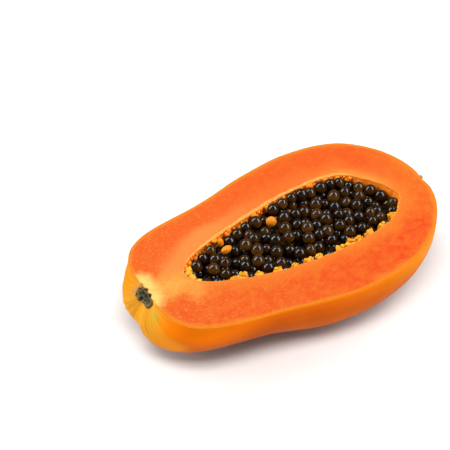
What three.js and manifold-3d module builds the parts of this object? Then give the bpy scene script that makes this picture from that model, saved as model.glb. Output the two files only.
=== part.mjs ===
// Half of a ripe papaya, cut lengthwise and lying cut face up on the curve of its skin.
// Millimetres. +X runs from the stem end to the blossom end, +Y across the fruit, +Z up.
// The origin is on the ground below the middle of the fruit.

import * as THREE from "three";
import { mergeVertices } from "three/addons/utils/BufferGeometryUtils.js";
import Module from "manifold-3d";

// ---- driving dimensions ----
const LENGTH = 165; // of the cut face
const MIDDLE = [80.4, -0.5]; // middle of the whole body, [from the stem end of the cut face, across]
const CUT_HEIGHT = 47; // cut face above the ground, low enough to flatten the belly where the half rests
// half width divided by the sine of the station angle, at equal steps from stem to blossom
const FULLNESS = [103, 73, 55, 47, 50.5, 56.5, 62, 64.5, 66];
// depth of a section as a share of its half width, at equal steps from stem to blossom
const DEPTH_RATIO = [1.17, 1.04, 0.9, 0.945, 0.92, 0.965, 0.95];
const BEND = [-0.2, -1, 1.3]; // sideways waves of the centre line, one, two and three half waves

const LOBES = 5; // ridges around the whole stem end
const LOBE_RIDGE = -0.34; // angle of one ridge from straight down, radians
const LOBE_RISE = 0.02; // share of the radius
const LOBE_REACH = 0.36; // station where the lobes and shoulders have faded
const SHOULDER = { reach: 7, drop: 8, lobed: 0.18 }; // the stem end swells out below the cut face

const STEM_DIMPLE = { across: 3, down: -5.5, radius: 11, depth: 4.2 };
const BLOSSOM_DIMPLE = { across: -2.5, down: -3, radius: 5, depth: 1.4 };
const STEM_SCAR = { along: 2.5, across: 2, down: -3.8, size: [1.8, 7, 5.4], lean: 0.38 };
const BLOSSOM_SCAR = { along: 164.6, across: 0.2, down: -1.5, size: [1.2, 1.3, 1.2], lean: 0 };

// edge of the seed cavity in the cut face, [from the stem end, across], once around
const CAVITY_EDGE = [
  [24.6, 1.5], [28.2, 8.5], [42, 14.6], [62, 19.4], [86, 24.2], [109, 25.9], [128, 23.6], [138, 14],
  [147, -2], [143, -11.6], [130.4, -20.2], [109, -23.6], [86, -23.2], [62, -19.7], [42, -13.4], [28.4, -6],
];
const CAVITY_MIDDLE = [88, 1];
const CAVITY_DEPTH = 25;
const CAVITY_SQUARENESS = 3.5; // power of the bowl's section, 2 is an ellipse

// lumps of the placenta along the near edge, [from the stem end, radius]
const PLACENTA_LUMPS = [
  [43.7, 1.8], [48, 3.2], [56, 2.4], [66, 2.6], [74, 1.9], [82, 2.6], [88, 2.2],
  [100, 2.4], [106, 2.9], [112, 2.4], [119, 2.7], [127.6, 2.3], [136, 2.5],
];
const LUMP_TOP = -0.2; // highest point of a lump below the cut face
const LUMP_REACH = 0.7; // middle of a lump inward from the edge, as a share of its radius

const SEED_RADIUS = 3;
const SEED_SPREAD = 0.12; // share by which a seed's radius varies
const HEAP_FAR = 25; // far side of the heap, across, where its level is that of the cut face
const HEAP_SLOPE = 0.11; // fall of its level towards the near side
const SEED_TOP = 2.6; // highest point of a seed above the heap's level
const SEED_DROP = 2.1; // how much lower a seed may start
const SEED_PITCH = [6.1, 6.1]; // spacing of the top layer, [along, across]
const SEED_STRAY = 1; // how far a seed strays from its place in the layer
const SEED_SQUEEZE = 0.95; // how close soft seed coats press together
const SEED_LEVELS = [-3.9, -6.1, -8.3]; // lowest centre that is let in, from the heap's level, pass by pass
const WALL_GAPS = [0.6, 1, 1.6]; // gap to the edge of the cavity, pass by pass
const WALL_PITCH = 6.2; // spacing of the seeds against the cavity wall
const SEED_ROWS = 3; // rows on each side of the middle one
const SEED_COLUMNS = 20;
const FIRST_SEED = [22, 1]; // start of the middle row, [from the stem end, across]
const FILL_SEEDS = 400; // tries a pass at filling the gaps
const FILL_AREA = { along: [24, 148], across: [-24, 27] };
const CORE_TOP = -2.4; // the hidden seeds and pulp are one core up to this, from the heap's level
const CORE_INSET = 1.2; // core inside the cavity wall
// undeveloped seeds, [from the stem end, across, radius]
const PALE_SEEDS = [[81.3, 13.7, 2.7], [51.3, 14.2, 2.2], [51.4, 8.2, 2.4]];
const PALE_DOWN = -2.4;
const GAP = 0.3; // clearance between separate bodies

// steps whose fractions fall evenly over a line, and over a square
const LINE_STEP = 0.6180339887;
const SQUARE_STEPS = [0.7548776662, 0.569840291];

const wasm = await Module();
wasm.setup();

// ---- curves ----

// smooth curve through equally spaced values, t from 0 to 1; a closed one comes back to the first value
function through(values, t, closed = false) {
  const spans = closed ? values.length : values.length - 1;
  const place = Math.min(t, 1) * spans;
  const span = Math.min(Math.floor(place), spans - 1);
  const value = (k) => {
    const wrapped = (k + values.length) % values.length;
    return values[closed ? wrapped : THREE.MathUtils.clamp(k, 0, spans)];
  };
  const [before, from, to, after] = [-1, 0, 1, 2].map((step) => value(span + step));
  const w = place - span;
  const leave = (to - before) / 2;
  const arrive = (after - from) / 2;
  return (2 * from - 2 * to + leave + arrive) * w ** 3 + (3 * to - 3 * from - 2 * leave - arrive) * w ** 2
    + leave * w + from;
}

const fraction = (x) => x - Math.floor(x);

// point at a distance from the stem end, across and down from the cut face
function place(along, across, down) {
  return new THREE.Vector3(along - MIDDLE[0], across - MIDDLE[1], CUT_HEIGHT + down);
}

// ---- surfaces of the fruit ----

// how far a dimple draws the surface in
function dimpled(dimple, across, down) {
  const off = Math.hypot(across - dimple.across, down - dimple.down) / dimple.radius;
  return dimple.depth * Math.exp(-off * off);
}

// skin at station t, from the stem 0 to the blossom 1; the angle is 0 straight down, a quarter turn at rim
function skin(t, angle) {
  const sine = Math.sin(Math.PI * t);
  const halfWidth = sine * through(FULLNESS, t);
  const stemward = Math.max(0, 1 - t / LOBE_REACH);
  const ridge = Math.cos(LOBES * (angle - LOBE_RIDGE));
  const lobe = 1 + LOBE_RISE * stemward * Math.cos(angle) * ridge;
  const bend = BEND[0] * sine + BEND[1] * Math.sin(2 * Math.PI * t) + BEND[2] * Math.sin(3 * Math.PI * t);
  const across = bend + halfWidth * lobe * Math.sin(angle);
  const down = -halfWidth * through(DEPTH_RATIO, t) * lobe * Math.cos(angle);
  const swell = SHOULDER.reach * (1 - Math.exp(-((down / SHOULDER.drop) ** 2))) * stemward;
  const drawn = t < 0.5 ? dimpled(STEM_DIMPLE, across, down) : -dimpled(BLOSSOM_DIMPLE, across, down);
  const along = (LENGTH / 2) * (1 - Math.cos(Math.PI * t)) - swell * (1 + SHOULDER.lobed * ridge);
  return place(along + drawn, across, down);
}

// rim of the cut face: out along the far side, back along the near side
function rim(turn) {
  return turn <= 0.5 ? skin(2 * turn, Math.PI / 2) : skin(2 - 2 * turn, -Math.PI / 2);
}

function cavityEdge(turn) {
  const [along, across] = [0, 1].map((axis) => through(CAVITY_EDGE.map((point) => point[axis]), turn, true));
  return place(along, across, 0);
}

// wall of the cavity from its edge (0) down to the middle of its floor (1), drawn in by an inset
function cavityWall(turn, drop, inset = 0) {
  const sine = Math.sin((drop * Math.PI) / 2);
  const scale = (1 - sine ** CAVITY_SQUARENESS) ** (1 / CAVITY_SQUARENESS);
  const middle = place(...CAVITY_MIDDLE, 0);
  const arm = cavityEdge(turn).sub(middle);
  arm.multiplyScalar(scale * (1 - inset / arm.length()));
  arm.z = -(CAVITY_DEPTH - inset) * sine;
  return arm.add(middle);
}

// ---- closed solids ----

// triangles of a surface over the unit square, facing right for points that run counter to the outward side
function patch(pointAt, columns, rows) {
  const corners = [];
  for (let i = 0; i < columns; i += 1) {
    for (let j = 0; j < rows; j += 1) {
      const a = pointAt(i / columns, j / rows);
      const b = pointAt((i + 1) / columns, j / rows);
      const c = pointAt((i + 1) / columns, (j + 1) / rows);
      const d = pointAt(i / columns, (j + 1) / rows);
      corners.push(a, c, b, a, d, c);
    }
  }
  return corners;
}

function solid(geometry) {
  const bare = geometry.clone();
  bare.deleteAttribute("normal");
  bare.deleteAttribute("uv");
  const welded = mergeVertices(bare);
  const index = Array.from(welded.index.array);
  const triangles = [];
  for (let i = 0; i < index.length; i += 3) {
    const corners = index.slice(i, i + 3);
    if (new Set(corners).size === 3) {
      triangles.push(...corners);
    }
  }
  return new wasm.Manifold(new wasm.Mesh({
    numProp: 3,
    vertProperties: new Float32Array(welded.attributes.position.array),
    triVerts: new Uint32Array(triangles),
  }));
}

const solidOf = (...patches) => solid(new THREE.BufferGeometry().setFromPoints(patches.flat()));

function ball(centre, radii, detail, lean = 0) {
  const geometry = new THREE.IcosahedronGeometry(1, detail);
  geometry.scale(...radii);
  geometry.rotateY(lean);
  geometry.translate(centre.x, centre.y, centre.z);
  return solid(geometry);
}

function slab(bottom, top) {
  const geometry = new THREE.BoxGeometry(2 * LENGTH, 2 * LENGTH, top - bottom);
  geometry.translate(0, 0, (bottom + top) / 2);
  return solid(geometry);
}

// ---- fruit ----

function scarBody(scar, swell) {
  return ball(place(scar.along, scar.across, scar.down), scar.size.map((size) => size + swell), 2, scar.lean);
}

// point of the near edge of the cavity at a distance from the stem end
function nearEdge(along) {
  const steps = 400;
  const target = place(along, 0, 0).x;
  let best = cavityEdge(0.5);
  for (let k = steps / 2; k <= steps; k += 1) {
    const point = cavityEdge(k / steps);
    if (Math.abs(point.x - target) < Math.abs(best.x - target)) {
      best = point;
    }
  }
  return best;
}

const lumps = PLACENTA_LUMPS.map(([along, radius]) => {
  const centre = nearEdge(along);
  centre.y += LUMP_REACH * radius;
  centre.z += LUMP_TOP - radius;
  return { centre, radius };
});

function fruitHalf() {
  const body = solidOf(
    patch((t, turn) => skin(t, (turn - 0.5) * Math.PI), 48, 18),
    patch((turn, inward) => rim(turn).lerp(cavityEdge(turn), inward), 96, 1),
    patch((turn, drop) => cavityWall(turn, drop), 96, 5),
  );
  const lumpy = lumps.reduce((whole, { centre, radius }) => {
    return whole.add(ball(centre, [radius, radius, radius], 1));
  }, body);
  return lumpy
    .subtract(scarBody(STEM_SCAR, GAP))
    .subtract(scarBody(BLOSSOM_SCAR, GAP))
    .subtract(slab(-20, 0))
    .subtract(slab(CUT_HEIGHT, CUT_HEIGHT + 20));
}

// ---- seeds ----

// moves a place in the cut face clear of the cavity wall, or gives null where it is well outside
function insideCavity(spot, clear) {
  const steps = 360;
  let best = { off: Infinity };
  for (let k = 0; k < steps; k += 1) {
    const edge = cavityEdge(k / steps);
    const off = Math.hypot(edge.x - spot.x, edge.y - spot.y);
    if (off < best.off) {
      best = { off, edge, ahead: cavityEdge(((k + 1) % steps) / steps) };
    }
  }
  const run = best.ahead.clone().sub(best.edge).normalize();
  const outward = new THREE.Vector3(-run.y, run.x, 0);
  const beyond = spot.clone().sub(best.edge).setZ(0).dot(outward);
  if (beyond > 1) {
    return null;
  }
  return spot.clone().addScaledVector(outward, Math.min(0, -clear - beyond));
}

// places to try, in order: a row against the wall, staggered rows a little astray, then an even scatter; each
// with a number that its size and height are drawn from
function* seedPlaces() {
  const steps = 360;
  let run = WALL_PITCH;
  for (let k = 0; k < steps; k += 1) {
    run += cavityEdge(k / steps).distanceTo(cavityEdge((k + steps - 1) / steps % 1));
    if (run >= WALL_PITCH) {
      run -= WALL_PITCH;
      yield [cavityEdge(k / steps), fraction(k * LINE_STEP)];
    }
  }
  let count = 0;
  for (let row = -SEED_ROWS; row <= SEED_ROWS; row += 1) {
    for (let column = 0; column < SEED_COLUMNS; column += 1) {
      count += 1;
      const strayTurn = 2 * Math.PI * fraction(count * LINE_STEP);
      const stray = SEED_STRAY * Math.sqrt(fraction(count * SQUARE_STEPS[0]));
      const shift = row % 2 ? 0.5 : 0;
      const along = FIRST_SEED[0] + (column + shift) * SEED_PITCH[0] + stray * Math.cos(strayTurn);
      const across = FIRST_SEED[1] + row * SEED_PITCH[1] + stray * Math.sin(strayTurn);
      yield [place(along, across, 0), fraction(count * SQUARE_STEPS[1])];
    }
  }
  for (let k = 0; k < FILL_SEEDS; k += 1) {
    const [along, across] = [FILL_AREA.along, FILL_AREA.across].map(([from, to], axis) => {
      return from + (to - from) * fraction(0.5 + k * SQUARE_STEPS[axis]);
    });
    yield [place(along, across, 0), fraction(k * LINE_STEP)];
  }
}

// height of the heap's level at a place
function heapLevel(spot) {
  return CUT_HEIGHT - HEAP_SLOPE * (HEAP_FAR - spot.y);
}

// each seed sits as high as its neighbours and the lumps let it
function settle(spot, radius, start, settled) {
  return settled.reduce((height, other) => {
    const reach = (radius + other.radius) * other.squeeze;
    const off = Math.hypot(other.centre.x - spot.x, other.centre.y - spot.y);
    return off < reach ? Math.min(height, other.centre.z - Math.sqrt(reach * reach - off * off)) : height;
  }, start);
}

function paleSeeds() {
  return PALE_SEEDS.map(([along, across, radius]) => {
    return { centre: place(along, across, PALE_DOWN), radius, squeeze: 1 + GAP / SEED_RADIUS };
  });
}

function darkSeeds(pale) {
  const obstacles = lumps.map((lump) => ({ ...lump, squeeze: 1 + GAP / SEED_RADIUS }));
  const settled = [...pale, ...obstacles];
  const dark = [];
  const places = [...seedPlaces()];
  for (const [pass, lowest] of SEED_LEVELS.entries()) {
    for (const [wanted, draw] of places) {
      const radius = SEED_RADIUS * (1 + SEED_SPREAD * (2 * draw - 1));
      const spot = insideCavity(wanted, radius + WALL_GAPS[pass]);
      if (spot) {
        const start = heapLevel(spot) + SEED_TOP - radius - SEED_DROP * fraction(draw * 7);
        spot.z = settle(spot, radius, start, settled);
        if (spot.z >= heapLevel(spot) + lowest) {
          const seed = { centre: spot, radius, squeeze: SEED_SQUEEZE };
          settled.push(seed);
          dark.push(seed);
        }
      }
    }
  }
  return dark;
}

function seedMass(dark, pale) {
  const bowl = solidOf(
    patch((turn, inward) => cavityWall(turn, 0, CORE_INSET).lerp(place(...CAVITY_MIDDLE, 0), inward), 48, 1),
    patch((turn, drop) => cavityWall(1 - turn, drop, CORE_INSET), 48, 5),
  );
  const cover = new THREE.BoxGeometry(2 * LENGTH, 2 * LENGTH, LENGTH);
  cover.translate(0, 0, LENGTH / 2);
  cover.rotateX(Math.atan(HEAP_SLOPE));
  cover.translate(0, HEAP_FAR, CUT_HEIGHT + CORE_TOP);
  const core = bowl.subtract(solid(cover));
  const heap = wasm.Manifold.union([core, ...dark.map(({ centre, radius }) => {
    const buried = centre.z < heapLevel(centre) + SEED_LEVELS[0];
    return ball(centre, [radius, radius, radius], buried ? 0 : 1);
  })]);
  return [...pale, ...lumps].reduce((whole, { centre, radius }) => {
    return whole.subtract(ball(centre, [radius + GAP, radius + GAP, radius + GAP], 1));
  }, heap);
}

// ---- the object ----

function mesh(name, body, colour, roughness) {
  const { numProp, vertProperties, triVerts } = body.getMesh();
  const geometry = new THREE.BufferGeometry();
  geometry.setAttribute("position", new THREE.BufferAttribute(vertProperties, numProp));
  geometry.setIndex(new THREE.BufferAttribute(triVerts, 1));
  geometry.computeVertexNormals();
  const result = new THREE.Mesh(geometry, new THREE.MeshStandardMaterial({ color: colour, roughness }));
  result.name = name;
  return result;
}

const pale = paleSeeds();
const dark = darkSeeds(pale);
const papaya = new THREE.Group();
papaya.add(mesh("fruit_half", fruitHalf(), "#f27a2c", 0.4));
papaya.add(mesh("seeds", seedMass(dark, pale), "#231a10", 0.2));
pale.forEach(({ centre, radius }, k) => {
  papaya.add(mesh(`pale_seed_${k + 1}`, ball(centre, [radius, radius, radius], 1), "#f2a83c", 0.35));
});
const stemScar = scarBody(STEM_SCAR, 0).subtract(slab(CUT_HEIGHT, CUT_HEIGHT + 20));
papaya.add(mesh("stem_scar", stemScar, "#4a4426", 0.9));
papaya.add(mesh("blossom_scar", scarBody(BLOSSOM_SCAR, 0), "#b48a3c", 0.8));

export default papaya;
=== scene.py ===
"""Looks of a ripe papaya half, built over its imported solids.

Formulas work in millimetres and a mesh is stored in metres. +X runs from the stem end to the blossom
end, +Y across the fruit and +Z up. The cut face is level and looks up.
"""

import math

import bpy
import numpy as np
from mathutils import Matrix, Vector


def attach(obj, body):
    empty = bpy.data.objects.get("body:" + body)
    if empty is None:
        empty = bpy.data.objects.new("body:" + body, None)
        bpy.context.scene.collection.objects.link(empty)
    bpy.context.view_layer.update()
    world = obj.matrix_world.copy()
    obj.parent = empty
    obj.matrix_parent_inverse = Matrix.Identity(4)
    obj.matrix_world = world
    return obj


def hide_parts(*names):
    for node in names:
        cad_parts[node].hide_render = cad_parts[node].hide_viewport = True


# ---- sizes of the solids, in millimetres and radians ----

LENGTH = 165  # of the cut face
MIDDLE = (80.4, -0.5)  # middle of the whole body, from the stem end of the cut face and across
CUT_HEIGHT = 47  # cut face above the ground
# half width divided by the sine of the station angle, at equal steps from stem to blossom
FULLNESS = (103, 73, 55, 47, 50.5, 56.5, 62, 64.5, 66)
# depth of a section as a share of its half width, at equal steps from stem to blossom
DEPTH_RATIO = (1.17, 1.04, 0.9, 0.945, 0.92, 0.965, 0.95)
BEND = (-0.2, -1, 1.3)  # sideways waves of the centre line, one, two and three half waves
LOBES = 5
LOBE_RIDGE = -0.34
LOBE_RISE = 0.02
LOBE_REACH = 0.36
SHOULDER_REACH = 7
SHOULDER_DROP = 8
SHOULDER_LOBED = 0.18
STEM_DIMPLE = dict(across=3, down=-5.5, radius=11, depth=4.2)
BLOSSOM_DIMPLE = dict(across=-2.5, down=-3, radius=5, depth=1.4)

# edge of the seed cavity in the cut face, from the stem end and across, once around
CAVITY_EDGE = (
    (24.6, 1.5), (28.2, 8.5), (42, 14.6), (62, 19.4), (86, 24.2), (109, 25.9), (128, 23.6), (138, 14),
    (147, -2), (143, -11.6), (130.4, -20.2), (109, -23.6), (86, -23.2), (62, -19.7), (42, -13.4), (28.4, -6),
)
CAVITY_MIDDLE = (88, 1)
CAVITY_DEPTH = 25
CAVITY_SQUARENESS = 3.5

# lumps of the placenta along the near edge, from the stem end, and radius
PLACENTA_LUMPS = (
    (43.7, 1.8), (48, 3.2), (56, 2.4), (66, 2.6), (74, 1.9), (82, 2.6), (88, 2.2),
    (100, 2.4), (106, 2.9), (112, 2.4), (119, 2.7), (127.6, 2.3), (136, 2.5),
)
LUMP_TOP = -0.2
LUMP_REACH = 0.7

SEED_RADIUS = 3
SEED_SPREAD = 0.12
HEAP_FAR = 25
HEAP_SLOPE = 0.11
SEED_TOP = 2.6
SEED_DROP = 2.1
SEED_PITCH = (6.1, 6.1)
SEED_STRAY = 1
SEED_SQUEEZE = 0.95
SEED_LEVELS = (-3.9, -6.1, -8.3)
WALL_GAPS = (0.6, 1, 1.6)
WALL_PITCH = 6.2
SEED_ROWS = 3
SEED_COLUMNS = 20
FIRST_SEED = (22, 1)
FILL_SEEDS = 400
FILL_AREA = ((24, 148), (-24, 27))
PALE_SEEDS = ((81.3, 13.7, 2.7), (51.3, 14.2, 2.2), (51.4, 8.2, 2.4))
PALE_DOWN = -2.4
GAP = 0.3
LINE_STEP = 0.6180339887  # its multiples' fractions fall evenly over a line
SQUARE_STEPS = (0.7548776662, 0.569840291)  # and these over a square

# ---- sizes of the finer detail ----

STATIONS = 300  # sections along the fruit
SKIN_STEPS = 110  # points round a section of the skin
HIDDEN_STEPS = 16  # and of a surface that doesn't show
WRAP = 46  # a section's size round, which turns an angle into a length along the skin
RIND = 0.8  # thickness of the skin layer that shows as a line around the cut face
DENTS = (0.16, 24)  # height and size of the wide soft dents in the skin
WRINKLES = (0.04, 0.14, 4.5)  # height of its lengthwise wrinkles, how much more at the stem, and size
WRINKLE_DRAW = 0.12  # a wrinkle's width as a share of its length
SCAR_HOLLOW = 0.6  # how far it sinks under the stem scar
STEM_BULGE = dict(across=9.5, down=-18, radius=8, depth=2.2)  # low swelling below the stem scar
# steps torn in the rim above the stem scar, and how fast they follow each other
RIM_TEAR = dict(across=1, width=8, height=2.2, step=0.55, turn=1.45, start=0.6)
FACE_STEPS = 45  # points from the rim to the cavity
EDGE_STEPS = 4  # points round the cavity's edge
WALL_STEPS = 34  # points from there down the cavity's wall
FACE_CROWD, WALL_CROWD = 1.6, 1.7  # how far both crowd towards the edge
EDGE_ROUND = 0.35  # rounding of the cavity's edge
# waves as heights and sizes: of the cavity's edge seen from above, and of its bumpy wall
EDGE_WAVES = ((0.22, 6), (0.1, 2.2))
WALL_WAVES = ((0.75, 3.1), (0.3, 1.5))
WALL_CALM = 1.3  # how far the smooth part of the wall, at the blossom end, stands into the cavity
BUMPS_CALMED, LINING_CALMED = 0.6, 0.65  # how much flatter its bumps are, and thinner its cut edge
# parts of the turn round the cavity, from 0 to 1: where each starts, is full, starts to fade and has ended
CALM_TURNS = (0.38, 0.43, 0.53, 0.6)
FAR_TURNS = (0.04, 0.18, 0.36, 0.44)
LINING_FAR = 1.9  # width of the lining's cut edge on the far side of the cavity
LINING_NEAR = 0.5  # and on the near side
LINING_TORN = (0.3, 1.6)  # height and size of the waves it is torn down in
LINING_SUNK = 0.16  # and how deep they lie
NO_MASK = 20  # a distance too far to tint anything
# line in the cut face along the stem scar, where the flesh is cream: from the stem end, and across
STEM_EDGE = ((2.5, 8.5), (2.6, 6.5), (2.1, 1.2), (1.9, -2), (1.9, -4.5))
# pale vein in the cut face, from the stem scar to the cavity's tip and on along its near side
VEIN = ((2.5, 2), (8, 0), (15, -1), (21, -2), (24, -4), (26, -9))
CRUMB_WAVES = (0.24, 1.1)  # roughness of a crumb, as a share of its radius, and size
CRUMB_BOXY = 0.65  # how far it is pressed towards a cube
LUMP_CRUMBS = 7  # on each lump of the placenta
BEADS = 74  # of placenta between the lumps
TUFTS = 64  # of placenta on the far wall
# stub of the placenta at the stem end of the cavity: from the stem end, across, down, radius
STEM_STUB = ((26.2, -1.6, -1.2, 1.9), (26.4, 1.7, -1.5, 1.8), (27.8, 4.8, -1.8, 1.6), (28.4, -4.6, -1.6, 1.2))
PULP_DOWN = -5.8  # level of the pulp between the seeds
PULP_THICK = 8  # down to its flat underside
PULP_WAVES = (0.7, 5)  # height and size of its waves
PULP_STEPS = (40, 6)  # points from the wall to the middle on top, and back underneath
SEED_GRID = (22, 14)  # columns and rows of a seed
PALE_GRID = (30, 20)
CRUMB_GRID = (14, 9)  # of a crumb of the placenta
BLOSSOM_GRID = (20, 14)  # and of one of the blossom scar
SEED_STRETCH = 0.035  # how much longer a seed is one way, as a share of its radius
SEED_WAVES = (0.012, 1.6)  # height and size of its wobble
# the seeds are painted olive brown on the side that looks this way, as light through their gel
SEED_SHADE = (-0.28, -0.5, -0.82)  # direction away from the light
PALE_WAVES = (0.05, 0.9)  # pucker of an unfilled seed
# unfilled seeds: size along, across and up as a share of the radius, and turn
PALE_SHAPES = (((1.0, 0.96, 1.02), 0.0), ((0.85, 0.8, 1.15), 0.5), ((1.3, 0.78, 0.85), 0.15))
SCAR_MIDDLE = (2.1, -4.3)  # stem scar, across and down from the cut face
SCAR_HALF = (7.2, 3.9)
SCAR_LEAN = -0.18  # of its long axis, radians
SCAR_RAGGED = ((0.09, 0.8), (0.05, 0.35))  # waves of its outline, as a share of its size
SCAR_FOLDS = ((1.1, 3.4), (0.5, 1.5))  # depths and sizes of the creases between its folds
SCAR_FOLD = 0.55  # height of a fold on its dome
SCAR_GRAIN = (0.12, 0.7)  # height and size of the fine roughness
SCAR_RISE = 1.05  # of its dome over the skin
SCAR_BURIED = 1.4  # how deep its hidden side lies in the skin
PIT_DEPTH = 1.3
SCAR_PITS = ((5.2, -4.6, 0.9), (2.4, -4.2, 1.1), (0.4, -5.2, 0.8), (-1.8, -3.6, 0.8))  # across, down, radius
# crumbs of the blossom scar: from the stem end, across, down, radius
BLOSSOM_CRUMBS = (
    (164.5, 0.2, -1.4, 1.15), (164.9, -0.7, -0.9, 0.6), (164.8, 0.9, -2.0, 0.6), (165.0, 0.3, -0.8, 0.55),
)
WAVES = 28  # plane waves in a ripple
GOLDEN_ANGLE = 2.399963

# camera: where it looks from, and where a point of the cut face falls in the frame
FRAME = 450  # pixels a side
SENSOR = 36
FOCUS_PIXELS = 1628.5
CAMERA_TURN = math.radians(-32)
CAMERA_RISE = math.radians(43.91)
CAMERA_DISTANCE = 825  # from the middle of the cut face's length
MIDDLE_PIXEL = (287.42, 233.21)

# soft boxes: name, one end, other end and width in metres, and watts; the last lights the floor alone
SOFTBOXES = (
    ("strip_back", (-0.87, 0.41, 0.30), (0.0, 0.41, 0.95), 0.3, 10.8),
    ("strip_front", (0.56, 0.12, 0.85), (0.50, -0.80, 0.38), 0.36, 10.6),
    ("floor_fill", (-0.05, -0.66, 1.07), (-0.53, -0.36, 1.07), 0.3, 30.0),
)
SURROUND = 0.24  # brightness of the white surroundings
FLOOR_HALF = 4.0  # metres
FLOOR_GAP = 0.0002  # metres, under the fruit


# ---- curves and noise ----


def curve(values, t, closed=False):
    """Smooth curve through equally spaced values, t from 0 to 1. Each span is the cubic through its two ends
    whose slope at an end is that of the line between the end's neighbours."""
    values = np.asarray(values, float)
    spans = len(values) if closed else len(values) - 1
    where = np.clip(t, 0, 1) * spans
    span = np.minimum(np.floor(where).astype(int), spans - 1)
    w = where - span
    steps = [span + k for k in (-1, 0, 1, 2)]
    before, start, end, after = (values[k % spans] if closed else values[np.clip(k, 0, spans)] for k in steps)
    leave = (end - before) / 2
    arrive = (after - start) / 2
    cubic = (2 * start - 2 * end + leave + arrive) * w**3
    return cubic + (3 * end - 3 * start - 2 * leave - arrive) * w**2 + leave * w + start


def fraction(x):
    """What is left of a number over its whole part, from 0 to 1."""
    return x - np.floor(x)


def smooth(x, low, high):
    """0 below low, 1 above high and a smooth step between."""
    w = np.clip((x - low) / (high - low), 0, 1)
    return w * w * (3 - 2 * w)


def between(x, start, full, last, end):
    """1 from full to last, 0 before start and after end, and smooth steps between."""
    return smooth(x, start, full) * smooth(-x, -end, -last)


def ripple(points, size, key):
    """Smooth noise, mostly from -1 to 1: a sum of plane waves with crests about one size apart, in directions
    spread over the sphere by the golden angle, each with its own length and phase."""
    k = np.arange(WAVES)
    level = 1 - (2 * k + 1) / WAVES
    turn = GOLDEN_ANGLE * k + key
    flat = np.sqrt(1 - level**2)
    direction = np.stack([flat * np.cos(turn), flat * np.sin(turn), level], 1)
    count = 2 * np.pi / (size * (0.7 + 0.6 * fraction(k * LINE_STEP + key * 0.37)))
    phase = 2 * np.pi * fraction(k * SQUARE_STEPS[0] + key * SQUARE_STEPS[1])
    return np.sin(points @ (direction * count[:, None]).T + phase).sum(-1) / (WAVES / 4)


def ripples(points, waves, key):
    """Ripples of several heights and sizes added up, each with a key of its own."""
    return sum(height * ripple(points, size, key + k) for k, (height, size) in enumerate(waves))


def place(along, across, down):
    """Point of the row frame at a distance from the stem end, across, and down from the cut face."""
    sides = np.broadcast_arrays(along - MIDDLE[0], across - MIDDLE[1], CUT_HEIGHT + down)
    return np.stack(sides, -1).astype(float)


def spot(point):
    """Along, across and down of points of the row frame."""
    return point[..., 0] + MIDDLE[0], point[..., 1] + MIDDLE[1], point[..., 2] - CUT_HEIGHT


# ---- surfaces of the fruit ----


def dimpled(dimple, across, down):
    """How far a dimple draws the surface in: its depth times a bell curve of the distance to its middle."""
    off = np.hypot(across - dimple["across"], down - dimple["down"]) / dimple["radius"]
    return dimple["depth"] * np.exp(-off * off)


def centre_line(t):
    """How far the middle of a section lies across: one, two and three half waves along the fruit."""
    return sum(size * np.sin((k + 1) * np.pi * t) for k, size in enumerate(BEND))


def half_width(t):
    """Half the width of a section: a sine from end to end, times the fullness there."""
    return np.sin(np.pi * t) * curve(FULLNESS, t)


def lobed(t, angle):
    """Ridge (-1 to 1) and share of the radius at an angle: weak lobes round the stem end that fade with t."""
    ridge = np.cos(LOBES * (angle - LOBE_RIDGE))
    return ridge, 1 + LOBE_RISE * np.maximum(0, 1 - t / LOBE_REACH) * np.cos(angle) * ridge


def plain_skin(t, angle):
    """Skin at station t from the stem (0) to the blossom (1), at an angle from straight down: the section,
    set along the fruit by the cosine of the station, swollen stemward below the cut face and dimpled."""
    ridge, lobe = lobed(t, angle)
    across = centre_line(t) + half_width(t) * lobe * np.sin(angle)
    down = -half_width(t) * curve(DEPTH_RATIO, t) * lobe * np.cos(angle)
    swell = SHOULDER_REACH * (1 - np.exp(-((down / SHOULDER_DROP) ** 2))) * np.maximum(0, 1 - t / LOBE_REACH)
    drawn = np.where(t < 0.5, dimpled(STEM_DIMPLE, across, down), -dimpled(BLOSSOM_DIMPLE, across, down))
    along = LENGTH / 2 * (1 - np.cos(np.pi * t)) - swell * (1 + SHOULDER_LOBED * ridge) + drawn
    point = place(along, across, down)
    point[..., 2] = np.maximum(point[..., 2], 0)
    return point


def outward(t, angle):
    """Unit normal of the plain skin, from its slopes along and around; level at the rim and at the poles."""
    inner = np.clip(t, 2e-3, 1 - 2e-3)
    step = 1e-4
    along = plain_skin(inner + step, angle) - plain_skin(inner - step, angle)
    around = plain_skin(inner, angle + step) - plain_skin(inner, angle - step)
    normal = np.cross(around, along)
    normal[..., 2] = np.where(np.abs(np.cos(angle)) < 1e-9, 0, normal[..., 2])
    normal /= np.linalg.norm(normal, axis=-1, keepdims=True)
    normal = np.where((t <= 0)[..., None], (-1.0, 0, 0), normal)
    return np.where((t >= 1)[..., None], (1.0, 0, 0), normal)


def scar_reach(across, down):
    """Distance from the middle of the stem scar, 1 at its edge."""
    side = across - SCAR_MIDDLE[0]
    up = down - SCAR_MIDDLE[1]
    long = side * math.cos(SCAR_LEAN) + up * math.sin(SCAR_LEAN)
    short = up * math.cos(SCAR_LEAN) - side * math.sin(SCAR_LEAN)
    return np.hypot(long / SCAR_HALF[0], short / SCAR_HALF[1])


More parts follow.
